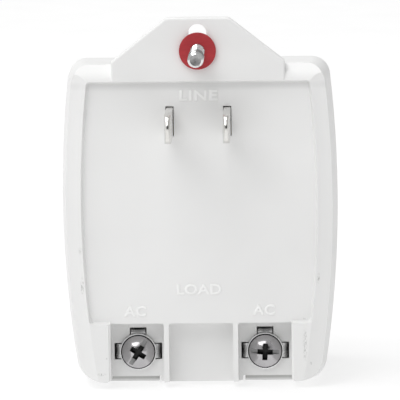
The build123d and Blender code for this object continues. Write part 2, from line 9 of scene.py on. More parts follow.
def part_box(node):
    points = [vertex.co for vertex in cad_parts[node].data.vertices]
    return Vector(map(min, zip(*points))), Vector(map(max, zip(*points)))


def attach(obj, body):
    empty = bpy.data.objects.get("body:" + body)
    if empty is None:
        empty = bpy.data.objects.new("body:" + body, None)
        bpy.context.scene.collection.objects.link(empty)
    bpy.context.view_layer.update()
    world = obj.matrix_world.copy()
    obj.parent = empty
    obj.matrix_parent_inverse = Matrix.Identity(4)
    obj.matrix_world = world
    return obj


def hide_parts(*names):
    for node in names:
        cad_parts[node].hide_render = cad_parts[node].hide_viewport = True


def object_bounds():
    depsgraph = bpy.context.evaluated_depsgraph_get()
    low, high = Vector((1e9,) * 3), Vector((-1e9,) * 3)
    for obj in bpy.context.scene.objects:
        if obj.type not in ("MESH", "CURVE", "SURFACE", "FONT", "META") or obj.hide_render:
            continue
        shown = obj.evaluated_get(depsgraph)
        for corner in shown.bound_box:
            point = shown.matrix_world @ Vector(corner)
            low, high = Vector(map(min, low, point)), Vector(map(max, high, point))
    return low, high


# Plug-in transformer, seen from the wall side. Metres, in the frame of the solids:
# +X to the right, +Y from the wall into the room, +Z up.

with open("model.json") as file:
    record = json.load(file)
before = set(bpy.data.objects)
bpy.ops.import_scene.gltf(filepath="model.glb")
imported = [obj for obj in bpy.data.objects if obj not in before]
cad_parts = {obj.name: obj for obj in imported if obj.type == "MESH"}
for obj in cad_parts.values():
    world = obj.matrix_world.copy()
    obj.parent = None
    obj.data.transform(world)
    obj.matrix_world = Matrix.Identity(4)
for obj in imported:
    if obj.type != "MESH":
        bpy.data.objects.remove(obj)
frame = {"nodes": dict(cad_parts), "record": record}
solid_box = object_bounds()

# Camera, as the photograph was taken
PICTURE_SIDE = 400
SENSOR = 36.0
CAMERA_DISTANCE = 1.2
CAMERA_FOCUS_PIXELS = 5449.0
CAMERA_AZIMUTH = radians(1.28)
CAMERA_ELEVATION = radians(7.34)
CAMERA_ROLL = radians(-0.68)
CAMERA_TARGET = Vector((0.00014, 0.0, -0.01747))
CAMERA_REACH = 50.0

# Studio lights
FRONT_LIGHT_HEADING = Vector((-0.28, -0.62, 0.73))
FRONT_LIGHT_WIDTH = 1.6
FRONT_LIGHT_POWER = 14.5
TOP_LIGHT_HEADING = Vector((-0.3, 0.0, 0.95))
TOP_LIGHT_WIDTH = 1.9
TOP_LIGHT_POWER = 25.0
LIGHT_DISTANCE = 2.2

# Studio floor, a pale surround, and the dark part of the room that the metal reflects
FLOOR_HALF_WIDTH = 6.0
FLOOR_GAP = 0.0002
FLOOR_DARK = (0.35, 0.35, 0.35)
FLOOR_LIGHT = (0.37, 0.37, 0.37)
FLOOR_ROUGHNESS = 0.9
FLOOR_GLOW = 0.66
SURROUND_LEFT = 0.54
SURROUND_RIGHT = 0.48
ROOM_PLACE = (0.08, -1.0, 0.25)
ROOM_REACH = (0.42, 0.7, 0.22)
ROOM_EDGE = (0.75, 1.05)
ROOM_DARK = 0.04

# Turned pieces
TURNED_SIDES = 72
ARC_STEPS = 14
SHARP_EDGE = radians(32.0)

# Screw threads: rows are for each pitch, columns for each turn
THREAD_PITCH = 0.79375e-3
THREAD_DEPTH = 0.00042
THREAD_LENGTH = 0.008
THREAD_RADIUS = 0.00175
THREAD_ROWS = 12
THREAD_COLUMNS = 41
THREAD_WELD = 1e-6
FLANK_STEEPNESS = 2.6
FLANK_START = 0.15
TIP_CHAMFER = 0.0005
TIP_LEAD = 0.0007
TIP_DIMPLE = 0.0004
NECK_RADIUS = 0.00155
THREAD_INPUTS = {
    "Start": "NodeSocketVector",
    "Length": "NodeSocketFloat",
    "Radius": "NodeSocketFloat",
    "Depth": "NodeSocketFloat",
    "Pitch": "NodeSocketFloat",
    "Chamfer": "NodeSocketFloat",
    "Lead": "NodeSocketFloat",
    "Dimple": "NodeSocketFloat",
    "Rows": "NodeSocketInt",
    "Columns": "NodeSocketInt",
    "Material": "NodeSocketMaterial",
}

# Screw heads; a slot and an arm of a cross are given as length, width and depth
MOUNT_HEAD_HEIGHT = 0.0022
MOUNT_HEAD_RIM = 0.0011
MOUNT_SLOT = (0.012, 0.0011, 0.0011)
TERMINAL_HEAD_HEIGHT = 0.0024
TERMINAL_HEAD_RIM = 0.0008
TERMINAL_SLOT = (0.0064, 0.00095, 0.0012)
TERMINAL_CROSS = (0.0039, 0.0012, 0.0019)
CROSS_NARROWING = 0.0004
DRIVE_TURN = {"left": radians(57.0), "right": radians(-3.0)}

# Clamp washers; the cup has painted shade from a little inside the lip
CLAMP_BORE = 0.0018
CLAMP_BASE = 0.0006
CLAMP_LIP = 0.00025
CLAMP_CUP_START = 1.9

# Line blades: the nose as reach and thinning, the hole as setback and radius, the tail as depth
# and half width
BLADE_EDGE = 0.00022
BLADE_EDGE_STEPS = 2
BLADE_HALF_WIDTH = 0.003175
BLADE_NOSE_ROUND = 0.003
BLADE_NOSE = (0.0026, 0.47)
BLADE_HOLE = (0.0048, 0.0016)
BLADE_SHOULDER_DEPTH = 0.0014
BLADE_TAIL = (0.002, 0.002)
BLADE_WELD = 1e-7

# Raised words on the plug panel: name, words, centre across, centre up, width
WORD_RAISE = 0.00016
WORD_ROUND = 0.0001
WORD_ROUND_STEPS = 2
WORD_WEIGHT = -0.00002
WORD_HEIGHT = 0.00235
WORD_SPACING = 1.1
WORD_SHARP_EDGE = radians(50.0)
PANEL_WORDS = (
    ("word_line", "LINE", 0.00005, 0.00573, 0.0084),
    ("word_load", "LOAD", -0.0003, -0.0373, 0.0098),
    ("word_ac_left", "AC", -0.01445, -0.0421, 0.0049),
    ("word_ac_right", "AC", 0.01395, -0.0420, 0.0049),
)

# Marks are given as centre and reach across, in depth and up; a mark is full inside this share
# of its reach
MARK_CORE = 0.3

# Handling marks on the rear housing
SCUFFS = (
    ((-0.02636, -0.0014, -0.0284), (0.0005, 0.0012, 0.0010)),
    ((-0.02602, -0.0014, -0.0362), (0.0005, 0.0012, 0.0024)),
    ((0.02608, -0.0014, -0.0349), (0.0004, 0.0012, 0.0016)),
    ((0.02297, -0.0015, -0.0496), (0.0006, 0.0008, 0.0044)),
    ((0.02434, -0.0015, -0.0539), (0.0005, 0.0008, 0.0006)),
    ((-0.0209, -0.0015, -0.0524), (0.0003, 0.0008, 0.0003)),
    ((0.0229, 0.0, -0.04405), (0.0004, 0.0008, 0.0003)),
    ((-0.0220, -0.0015, -0.0560), (0.0012, 0.0008, 0.0004)),
)
SCUFF_COLOUR = (0.5, 0.5, 0.49)
SCUFF_GRAIN = (3600.0, 600.0, 1500.0)
SCUFF_STREAKS = (0.46, 0.6)

# Painted shade in the gap below the bay floors, and a lighter painted shade under the panel's upper
# edge
GAP_SHADE = (((0.0, 0.0091, -0.05835), (0.06, 0.0006, 0.0006)),)
GAP_SHADE_COLOUR = (0.5, 0.5, 0.49)
EDGE_SHADE = (((0.0, 0.0003, 0.0080), (0.06, 0.0024, 0.0013)),)
EDGE_SHADE_COLOUR = (0.755, 0.755, 0.75)

# Painted shade on the mounting screw's thread, between its tip and its neck, where its grooves lie in
# shade
THREAD_SHADE = (((0.0, -0.0173, 0.0157), (0.02, 0.0052, 0.02)),)
THREAD_SHADE_COLOUR = (0.38, 0.38, 0.38)

# Painted shade where the ears of the terminal plates bend inwards
TERMINAL_X = 0.0141
TERMINAL_Z = -0.05205
EAR_END = 0.0052
EAR_DEPTH = 0.0072
SIDE_EAR_REACH = (0.0013, 0.004, 0.0026)
TOP_EAR_REACH = (0.0026, 0.004, 0.001)
EAR_SHADE_MARKS = tuple(
    mark
    for middle in (-TERMINAL_X, TERMINAL_X)
    for mark in (
        ((middle - EAR_END, EAR_DEPTH, TERMINAL_Z), SIDE_EAR_REACH),
        ((middle + EAR_END, EAR_DEPTH, TERMINAL_Z), SIDE_EAR_REACH),
        ((middle, EAR_DEPTH, TERMINAL_Z + EAR_END), TOP_EAR_REACH),
    )
)
EAR_SHADE_COLOUR = (0.1, 0.1, 0.1)

# Part of a pattern's range that most of it lies in
PATTERN_SPAN = (0.3, 0.7)

# Plated metals: dark and light colour, least and most roughness, grain across, in depth and up
PLATED_METALS = {
    "blade_nickel": ((0.70, 0.69, 0.66), (0.78, 0.77, 0.75), (0.14, 0.22), (3000.0, 120.0, 3000.0)),
    "screw_zinc": ((0.84, 0.84, 0.84), (0.93, 0.93, 0.93), (0.10, 0.18), (900.0, 900.0, 900.0)),
    "terminal_nickel": ((0.46, 0.46, 0.46), (0.58, 0.58, 0.58), (0.24, 0.36), (500.0, 500.0, 2500.0)),
    "screw_nickel": ((0.45, 0.44, 0.45), (0.55, 0.54, 0.55), (0.15, 0.22), (800.0, 800.0, 800.0)),
    "worn_tip": ((0.22, 0.22, 0.22), (0.5, 0.5, 0.5), (0.3, 0.5), (2500.0, 300.0, 700.0)),
    "clamp_nickel": ((0.86, 0.86, 0.86), (0.93, 0.93, 0.93), (0.24, 0.34), (700.0, 700.0, 700.0)),
    # Painted shade: darker metal for the faces inside a drive slot, near-black metal for those inside a
    # cross or a washer's cup
    "slot_shade": ((0.18, 0.18, 0.18), (0.3, 0.3, 0.3), (0.3, 0.4), (900.0, 900.0, 900.0)),
    "recess_shade": ((0.02, 0.02, 0.02), (0.06, 0.06, 0.06), (0.4, 0.6), (900.0, 900.0, 900.0)),
}
PLAIN_STAIN = 220.0
FINE_STAIN = {"worn_tip": 900.0}
# Painted shade laid over plated metals: the marks and the colour of the shade
PAINTED_SHADE_MARKS = {
    "screw_zinc": (THREAD_SHADE, THREAD_SHADE_COLOUR),
    "terminal_nickel": (EAR_SHADE_MARKS, EAR_SHADE_COLOUR),
}

# Laminations and coil turns: axis and width of the bands, dark and light colour, least and most
# roughness, share of metal, relief
BANDED_METALS = {
    "core_steel": ("Y", 0.0005, (0.045, 0.05, 0.06), (0.2, 0.21, 0.23), (0.35, 0.55), 0.85, 0.00008),
    "magnet_wire": ("X", 0.0004, (0.10, 0.025, 0.006), (0.52, 0.19, 0.06), (0.18, 0.3), 0.8, 0.00015),
}
BAND_SPAN = (0.1, 0.6)

# Plain plastics, film and lacquer: dark and light colour, least and most roughness, scale of the
# colour drift
PLAIN_PLASTICS = {
    # A lighter copy of the housing's white: painted light for the raised words, where their strokes
    # catch the light
    "word_white_lit": ((0.9, 0.9, 0.895), (0.93, 0.93, 0.925), (0.3, 0.4), 400.0),
    "bobbin_nylon": ((0.70, 0.69, 0.63), (0.77, 0.76, 0.71), (0.4, 0.5), 90.0),
    "coil_tape": ((0.66, 0.44, 0.06), (0.76, 0.54, 0.1), (0.18, 0.32), 120.0),
    "cutoff_case": ((0.68, 0.66, 0.57), (0.75, 0.73, 0.66), (0.2, 0.3), 150.0),
    "lead_black": ((0.02, 0.02, 0.021), (0.04, 0.04, 0.042), (0.4, 0.52), 300.0),
    "lead_red": ((0.38, 0.03, 0.024), (0.5, 0.05, 0.04), (0.4, 0.52), 300.0),
}


def feed(tree, socket, value):
    """Links an input to another node's output, or sets it to a plain value."""
    if isinstance(value, bpy.types.NodeSocket):
        tree.links.new(value, socket)
    else:
        socket.default_value = value


def named_node(tree, kind, settings=None, **inputs):
    """A node with its settings; inputs go by name, with _ for a space, or by number, as i0."""
    made = tree.nodes.new(kind)
    for key, value in (settings or {}).items():
        setattr(made, key, value)
    for key, value in inputs.items():
        numbered = key[0] == "i" and key[1:].isdigit()
        feed(tree, made.inputs[int(key[1:]) if numbered else key.replace("_", " ")], value)
    return made


def worked_out(tree, operation, *values):
    """A number worked out from plain values and from other nodes' numbers."""
    made = named_node(tree, "ShaderNodeMath", {"operation": operation})
    for socket, value in zip(made.inputs, values):
        feed(tree, socket, value)
    return made.outputs[0]


def finish_material(name):
    """An empty material with its shader, and the object coordinates that its pattern follows."""
    material = bpy.data.materials.new(name)
    material.use_nodes = True
    tree = material.node_tree
    tree.nodes.clear()
    shader = tree.nodes.new("ShaderNodeBsdfPrincipled")
    output = tree.nodes.new("ShaderNodeOutputMaterial")
    tree.links.new(shader.outputs["BSDF"], output.inputs["Surface"])
    place = tree.nodes.new("ShaderNodeTexCoord").outputs["Object"]
    return material, tree, shader, place


def stretched(tree, place, scale):
    """Coordinates scaled along each axis, for a pattern with a grain."""
    return named_node(tree, "ShaderNodeMapping", Vector=place, Scale=scale).outputs["Vector"]


def noise(tree, place, scale=1.0, detail=3.0, roughness=0.5):
    """A cloudy pattern."""
    return named_node(
        tree, "ShaderNodeTexNoise", Vector=place, Scale=scale, Detail=detail, Roughness=roughness
    ).outputs["Fac"]


def spread(tree, factor, low, high, span=PATTERN_SPAN):
    """A number between low and high that follows a pattern."""
    return named_node(
        tree,
        "ShaderNodeMapRange",
        Value=factor,
        From_Min=span[0],
        From_Max=span[1],
        To_Min=low,
        To_Max=high,
    ).outputs["Result"]


def tint(tree, factor, dark, light, span=PATTERN_SPAN):
    """A colour between two shades that follows a pattern."""
    ramp = named_node(tree, "ShaderNodeValToRGB", Fac=factor)
    for stop, position, shade in zip(ramp.color_ramp.elements, span, (dark, light)):
        stop.position = position
        stop.color = (*shade, 1)
    return ramp.outputs["Color"]


def laid_over(tree, share, under, over):
    """A colour with another laid over it by a share."""
    return named_node(
        tree, "ShaderNodeMix", {"data_type": "RGBA"}, i0=share, i6=under, i7=(*over, 1)
    ).outputs[2]


def coat(tree, shader, colour, roughness, metallic=0.0):
    """The colour and polish of a surface."""
    tree.links.new(colour, shader.inputs["Base Color"])
    tree.links.new(roughness, shader.inputs["Roughness"])
    shader.inputs["Metallic"].default_value = metallic


def relief(tree, shader, height, strength, distance):
    """A fine relief on the surface."""
    bump = named_node(tree, "ShaderNodeBump", Strength=strength, Distance=distance, Height=height)
    tree.links.new(bump.outputs["Normal"], shader.inputs["Normal"])


def share_of_reach(tree, place, centre, reach):
    """How far a point lies from a centre, as a share of the reach along each axis."""
    offset = named_node(
        tree,
        "ShaderNodeMapping",
        {"vector_type": "TEXTURE"},
        Vector=place,
        Location=centre,
        Scale=reach,
    ).outputs["Vector"]
    away = named_node(tree, "ShaderNodeVectorMath", {"operation": "LENGTH"}, i0=offset)
    return away.outputs["Value"]


def near_marks(tree, place, marks):
    """How near a point is to any of a few marks: 1 at a centre, 0 out of reach."""
    nearest = None
    for centre, reach in marks:
        away = share_of_reach(tree, place, centre, reach)
        near = spread(tree, away, 1.0, 0.0, (MARK_CORE, 1.0))
        nearest = near if nearest is None else worked_out(tree, "MAXIMUM", nearest, near)
    return nearest


def scuffed(tree, place):
    """How far the housing is scuffed: streaks within reach of a few places."""
    grain = noise(tree, stretched(tree, place, SCUFF_GRAIN), detail=4.0, roughness=0.7)
    streaks = spread(tree, grain, 0.0, 1.0, SCUFF_STREAKS)
    return worked_out(tree, "MULTIPLY", near_marks(tree, place, SCUFFS), streaks)


def moulded_white():
    """White moulded plastic with a fine satin grain, slight flow marks, a few scuffs, and painted shade
    in the gap below the bay floors and under the panel's upper edge.
    """
    material, tree, shader, place = finish_material("moulded_white")
    flow = noise(tree, place, scale=45.0, detail=2.0)
    grain = noise(tree, place, scale=2600.0, detail=2.0)
    colour = tint(tree, flow, dark=(0.82, 0.82, 0.815), light=(0.85, 0.85, 0.845))
    colour = laid_over(tree, scuffed(tree, place), colour, SCUFF_COLOUR)
    # Painted shade: darker where the gap below the bay floors lies in shade
    colour = laid_over(tree, near_marks(tree, place, GAP_SHADE), colour, GAP_SHADE_COLOUR)
    # Painted shade: a lighter darkening under the panel's upper edge, where the recess's upper wall is
    # shaded
    colour = laid_over(tree, near_marks(tree, place, EDGE_SHADE), colour, EDGE_SHADE_COLOUR)
    coat(tree, shader, colour, spread(tree, grain, low=0.42, high=0.54))
    shader.inputs["IOR"].default_value = 1.46
    shader.inputs["Specular IOR Level"].default_value = 0.4
    relief(tree, shader, grain, strength=0.12, distance=0.00004)
    return material


def plated_metal(name, dark, light, rough, grain_scale):
    """Plated metal with a drawn grain and faint stains, darkened by painted shade near any listed
    marks.
    """
    material, tree, shader, place = finish_material(name)
    stain = noise(tree, place, FINE_STAIN.get(name, PLAIN_STAIN), detail=4.0, roughness=0.6)
    grain = noise(tree, stretched(tree, place, grain_scale), detail=3.0, roughness=0.6)
    colour = tint(tree, stain, dark, light)
    if name in PAINTED_SHADE_MARKS:
        marks, painted_shade = PAINTED_SHADE_MARKS[name]
        # Painted shade over the marks
        colour = laid_over(tree, near_marks(tree, place, marks), colour, painted_shade)
    coat(tree, shader, colour, spread(tree, grain, *rough), metallic=1.0)
    relief(tree, shader, grain, strength=0.08, distance=0.00003)
    return material


def red_fibre():
    """Vulcanised fibre: dull red with a paper-like grain."""
    material, tree, shader, place = finish_material("red_fibre")
    fibres = noise(tree, stretched(tree, place, (900.0, 300.0, 2200.0)), detail=4.0, roughness=0.6)
    colour = tint(tree, fibres, dark=(0.36, 0.018, 0.024), light=(0.44, 0.028, 0.036))
    coat(tree, shader, colour, spread(tree, fibres, low=0.5, high=0.68))
    relief(tree, shader, fibres, strength=0.2, distance=0.00003)
    return material


def banded_metal(name, axis, period, dark, light, rough, metallic, depth):
    """Fine parallel bands along one axis, for laminations and for the turns of a coil."""
    material, tree, shader, place = finish_material(name)
    waves = named_node(
        tree,
        "ShaderNodeTexWave",
        {"bands_direction": axis, "wave_type": "BANDS", "wave_profile": "SIN"},
        Vector=place,
        Scale=pi / (10 * period),
        Distortion=0.4,
        Detail=1.0,
    ).outputs["Fac"]
    stain = noise(tree, place, scale=140.0, detail=4.0)
    coat(tree, shader, tint(tree, waves, dark, light, BAND_SPAN), spread(tree, stain, *rough), metallic)
    relief(tree, shader, waves, strength=0.5, distance=depth)
    return material


def grained_plastic(name, dark, light, rough, scale):
    """Plain plastic, film or lacquer with a little colour drift."""
    material, tree, shader, place = finish_material(name)
    drift = noise(tree, place, scale)
    coat(tree, shader, tint(tree, drift, dark, light), spread(tree, drift, *rough))
    grain = noise(tree, place, 10 * scale, detail=2.0)
    relief(tree, shader, grain, strength=0.1, distance=0.00003)
    return material


def dress_solids():
    """Makes every finish, by the name of its slot, and gives each solid its own."""
    made = {"housing_white": moulded_white(), "fibre_red": red_fibre()}
    for maker, recipes in (
        (plated_metal, PLATED_METALS),
        (banded_metal, BANDED_METALS),
        (grained_plastic, PLAIN_PLASTICS),
    ):
        for name, recipe in recipes.items():
            made[name] = maker(name, *recipe)
    for part in frame["record"]["subparts"]:
        solid = frame["nodes"][part["node"]]
        solid.data.materials.clear()
        solid.data.materials.append(made[part["material_slot"]])
    return made


def in_scene(name, data):
    """A new object at the origin."""
    made = bpy.data.objects.new(name, data)
    bpy.context.scene.collection.objects.link(made)
    return made


def made_plain(held):
    """The plain mesh that an object makes from its curve or modifiers; the object goes."""
    bpy.context.view_layer.update()
    graph = bpy.context.evaluated_depsgraph_get()
    mesh = bpy.data.meshes.new_from_object(held.evaluated_get(graph))
    bpy.data.objects.remove(held)
    return mesh


def mesh_of(form, name):
    """The mesh of a form built face by face, with its normals outward."""
    bmesh.ops.recalc_face_normals(form, faces=form.faces[:])
    mesh = bpy.data.meshes.new(name)
    form.to_mesh(mesh)
    form.free()
    return mesh


def thread_tree():
    """A closed screw thread along +Y, wound from a grid: its rows go along, its columns round."""
    tree = bpy.data.node_groups.new("screw_thread", "GeometryNodeTree")
    tree.interface.new_socket(name="Geometry", in_out="OUTPUT", socket_type="NodeSocketGeometry")
    ids = {}
    for name, kind in THREAD_INPUTS.items():
        ids[name] = tree.interface.new_socket(name=name, in_out="INPUT", socket_type=kind).identifier
    given = tree.nodes.new("NodeGroupInput").outputs

    def calc(operation, *values):
        return worked_out(tree, operation, *values)

    def within_one(value):
        return calc("MINIMUM", calc("MAXIMUM", value, 0.0), 1.0)

    grid = named_node(
        tree,
        "GeometryNodeMeshGrid",
        Size_X=1.0,
        Size_Y=1.0,
        Vertices_X=given["Rows"],
        Vertices_Y=given["Columns"],
    )
    spot = tree.nodes.new("GeometryNodeInputPosition").outputs["Position"]
    parts = named_node(tree, "ShaderNodeSeparateXYZ", Vector=spot).outputs
    row = calc("ADD", parts["X"], 0.5)
    turn = calc("ADD", parts["Y"], 0.5)

    # The first and last rows close the ends, so the thread runs between the second and the last but one
    margin = calc("DIVIDE", 1.0, calc("SUBTRACT", given["Rows"], 1.0))
    half_margin = calc("MULTIPLY", margin, 0.5)
    run = calc("SUBTRACT", 1.0, calc("MULTIPLY", margin, 2.0))
    reach = calc("DIVIDE", calc("SUBTRACT", row, margin), run)
    along = calc("MULTIPLY", within_one(reach), given["Length"])

    # The groove winds once round for each pitch, and the tip narrows over its lead
    wave = calc("PINGPONG", calc("ADD", calc("DIVIDE", along, given["Pitch"]), turn), 0.5)
    flank = within_one(calc("SUBTRACT", calc("MULTIPLY", wave, FLANK_STEEPNESS), FLANK_START))
    groove = calc("MULTIPLY", calc("SUBTRACT", 1.0, flank), given["Depth"])
    cut = calc("SUBTRACT", given["Radius"], groove)
    slope = calc("DIVIDE", given["Chamfer"], given["Lead"])
    lead_in = calc("MULTIPLY_ADD", along, slope, calc("SUBTRACT", given["Radius"], given["Chamfer"]))
    body = calc("MINIMUM", cut, lead_in)

    # The end rows shrink to the axis, the first one pushed in by the dimple
    from_middle = calc("ABSOLUTE", calc("SUBTRACT", row, 0.5))
    inner = calc("LESS_THAN", from_middle, calc("SUBTRACT", 0.5, half_margin))
    radius = calc("MULTIPLY", body, inner)
    angle = calc("MULTIPLY", turn, 2 * pi)
    first = calc("LESS_THAN", row, half_margin)
    wound = named_node(
        tree,
        "ShaderNodeCombineXYZ",
        X=calc("MULTIPLY", radius, calc("COSINE", angle)),
        Y=calc("MULTIPLY_ADD", first, given["Dimple"], along),
        Z=calc("MULTIPLY", radius, calc("SINE", angle)),
    ).outputs["Vector"]
    placed = named_node(
        tree, "ShaderNodeVectorMath", {"operation": "ADD"}, i0=wound, i1=given["Start"]
    ).outputs[0]

    made = grid.outputs["Mesh"]
    for kind, inputs in (
        ("GeometryNodeSetPosition", {"Position": placed}),
        ("GeometryNodeMergeByDistance", {"Distance": THREAD_WELD}),
        ("GeometryNodeSetShadeSmooth", {}),
        ("GeometryNodeRealizeInstances", {}),
        ("GeometryNodeSetMaterial", {"Material": given["Material"]}),
    ):
        made = named_node(tree, kind, Geometry=made, **inputs).outputs["Geometry"]
    output = tree.nodes.new("NodeGroupOutput")
    tree.links.new(made, output.inputs["Geometry"])
    return tree, ids


def arc(radius, crown_y, rim_y):
    """Points of a domed head from its crown to its rim."""
    rise = rim_y - crown_y
    curve = (radius**2 + rise**2) / (2 * rise)
    half = asin(radius / abs(curve))
    turns = [half * step / ARC_STEPS for step in range(ARC_STEPS + 1)]
    return [(abs(curve) * sin(turn), crown_y + curve * (1 - cos(turn))) for turn in turns]


def turned(name, profile, axis_x, axis_z, looped=False):
    """A form turned about an axis along Y, from radii and places on it; a looped profile is a ring."""
    form = bmesh.new()
    rings = []
    for out, y in profile:
        steps = range(TURNED_SIDES if out else 1)
        angles = [2 * pi * step / TURNED_SIDES for step in steps]
        spots = [(axis_x + out * cos(angle), y, axis_z + out * sin(angle)) for angle in angles]
        rings.append([form.verts.new(spot) for spot in spots])
    for first, second in zip(rings, rings[1:] + (rings[:1] if looped else [])):
        for step in range(TURNED_SIDES):
            after = (step + 1) % TURNED_SIDES
            near = [first[step], first[after]] if len(first) > 1 else first
            far = [second[after], second[step]] if len(second) > 1 else second
            form.faces.new(near + far)
    return mesh_of(form, name)


def drive_cutter(name, size, narrowing, crown, inward, turn):
    """A wedge that cuts a slot or one arm of a cross into a head, from its crown inwards."""
    length, width, depth = size
    form = bmesh.new()
    corners = []
    for y, less in ((crown.y - inward * depth, -narrowing), (crown.y + inward * depth, narrowing)):
        for u, v in ((-1, -1), (1, -1), (1, 1), (-1, 1)):
            across = u * (length / 2 - less)
            beside = v * (width / 2 - less / 2)
            x = crown.x + across * cos(turn) - beside * sin(turn)
            z = crown.z + across * sin(turn) + beside * cos(turn)
            corners.append(form.verts.new((x, y, z)))
    form.faces.new(corners[:4])
    form.faces.new(corners[4:])
    for step in range(4):
        after = (step + 1) % 4
        form.faces.new((corners[step], corners[after], corners[4 + after], corners[4 + step]))
    return mesh_of(form, name)


def cut_drive(mesh, cutters):
    """The head with its drive cut out; each cutter's faces keep the finish that its number names."""
    held = in_scene(mesh.name, mesh)
    tools = []
    for cutter, number in cutters:
        for face in cutter.polygons:
            face.material_index = number
        for material in mesh.materials:
            cutter.materials.append(material)
        tool = in_scene(cutter.name, cutter)
        modifier = held.modifiers.new(cutter.name, "BOOLEAN")
        modifier.operation = "DIFFERENCE"
        modifier.solver = "EXACT"
        modifier.object = tool
        tools.append(tool)
    cut = made_plain(held)
    for tool in tools:
        bpy.data.objects.remove(tool)
    return cut


def finished_piece(name, mesh, node):
    """A piece that stands for a solid and moves as that solid does."""
    piece = in_scene(name, mesh)
    mesh.shade_smooth()
    mesh.set_sharp_from_angle(angle=SHARP_EDGE)
    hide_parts(node)
    bodies = frame["record"]["behaviour"]["bodies"]
    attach(piece, next(body for body, nodes in bodies.items() if node in nodes))


def wound_thread(node, material, start, end, radius, chamfer=0.0, dimple=0.0, tip_number=0):
    """A thread on a screw's axis; the faces of a dimple in its tip take the finish of that number."""
    low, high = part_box(node)
    length = end - start
    name = f"{node}_thread"
    holder = in_scene(name, bpy.data.meshes.new(name))
    modifier = holder.modifiers.new(name, "NODES")
    modifier.node_group = thread
    for key, value in (
        ("Start", ((low[0] + high[0]) / 2, start, (low[2] + high[2]) / 2)),
        ("Length", length),
        ("Radius", radius),
        ("Depth", THREAD_DEPTH),
        ("Pitch", THREAD_PITCH),
        ("Chamfer", chamfer),
        ("Lead", TIP_LEAD),
        ("Dimple", dimple),
        ("Rows", round(length / THREAD_PITCH * THREAD_ROWS) + 3),
        ("Columns", THREAD_COLUMNS),
        ("Material", material),
    ):
        modifier[thread_ids[key]] = value
    mesh = made_plain(holder)
    form = bmesh.new()
    form.from_mesh(mesh)
    bmesh.ops.recalc_face_normals(form, faces=form.faces[:])
    for face in form.faces:
        in_dimple = len(face.verts) == 3 and face.calc_center_median().y < start + length / 2
        face.material_index = tip_number if in_dimple else 0
    form.to_mesh(mesh)
    form.free()
    return mesh


def threaded_screw(node, head, threads):
    """A screw from its head and its threads."""
    name = f"{node}_threaded"
    form = bmesh.new()
    for part in [head] + threads:
        form.from_mesh(part)
    mesh = bpy.data.meshes.new(name)
    form.to_mesh(mesh)
    form.free()
    for material in head.materials:
        mesh.materials.append(material)
    finished_piece(name, mesh, node)


def mounting_screw():
    """The captive screw: a slotted head, a thinner neck, and a thread with a worn dimple in its tip."""
    node = "mounting_screw"
    low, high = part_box(node)
    axis_x = (low[0] + high[0]) / 2
    axis_z = (low[2] + high[2]) / 2
    head_radius = (high[0] - low[0]) / 2
    tip_y, crown_y = low[1], high[1]
    neck_y = tip_y + THREAD_LENGTH
    seat_y = crown_y - MOUNT_HEAD_HEIGHT
    profile = [(0, seat_y), (head_radius, seat_y)]
    profile += reversed(arc(head_radius, crown_y, seat_y + MOUNT_HEAD_RIM))
    head = turned("mounting_head", profile, axis_x, axis_z)
    zinc = finishes["screw_zinc"]
    for material in (zinc, finishes["worn_tip"]):
        head.materials.append(material)
    crown = Vector((axis_x, crown_y, axis_z))
    slot = drive_cutter("mounting_slot", MOUNT_SLOT, 0.0, crown, inward=-1, turn=0.0)
    head = cut_drive(head, [(slot, 0)])
    tip = wound_thread(node, zinc, tip_y, neck_y, THREAD_RADIUS, TIP_CHAMFER, TIP_DIMPLE, tip_number=1)
    neck = wound_thread(node, zinc, neck_y, seat_y, NECK_RADIUS)
    threaded_screw(node, head, [tip, neck])


def terminal_screw(hand):
    """A terminal screw: a dome with a slot and a cross, darkened inside by painted shade, the cross
    most.
    """
    node = f"terminal_screw_{hand}"
    low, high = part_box(node)
    crown = Vector(((low[0] + high[0]) / 2, low[1], (low[2] + high[2]) / 2))
    head_radius = (high[0] - low[0]) / 2
    seat_y = crown.y + TERMINAL_HEAD_HEIGHT
    profile = arc(head_radius, crown.y, seat_y - TERMINAL_HEAD_RIM)
    profile += [(head_radius, seat_y), (0, seat_y)]
    head = turned(f"{node}_head", profile, crown.x, crown.z)
    nickel = finishes["screw_nickel"]
    for material in (nickel, finishes["recess_shade"], finishes["slot_shade"]):
        head.materials.append(material)
    turn = DRIVE_TURN[hand]
    # The faces that the slot and the cross cut take painted shade
    cutters = [(drive_cutter(f"{node}_slot", TERMINAL_SLOT, 0.0, crown, 1, turn), 2)]
    for quarter in (0.0, pi / 2):
        arm = drive_cutter(f"{node}_arm", TERMINAL_CROSS, CROSS_NARROWING, crown, 1, turn + quarter)
        cutters.append((arm, 1))
    head = cut_drive(head, cutters)
    shank = wound_thread(node, nickel, seat_y, high[1], THREAD_RADIUS)
    threaded_screw(node, head, [shank])


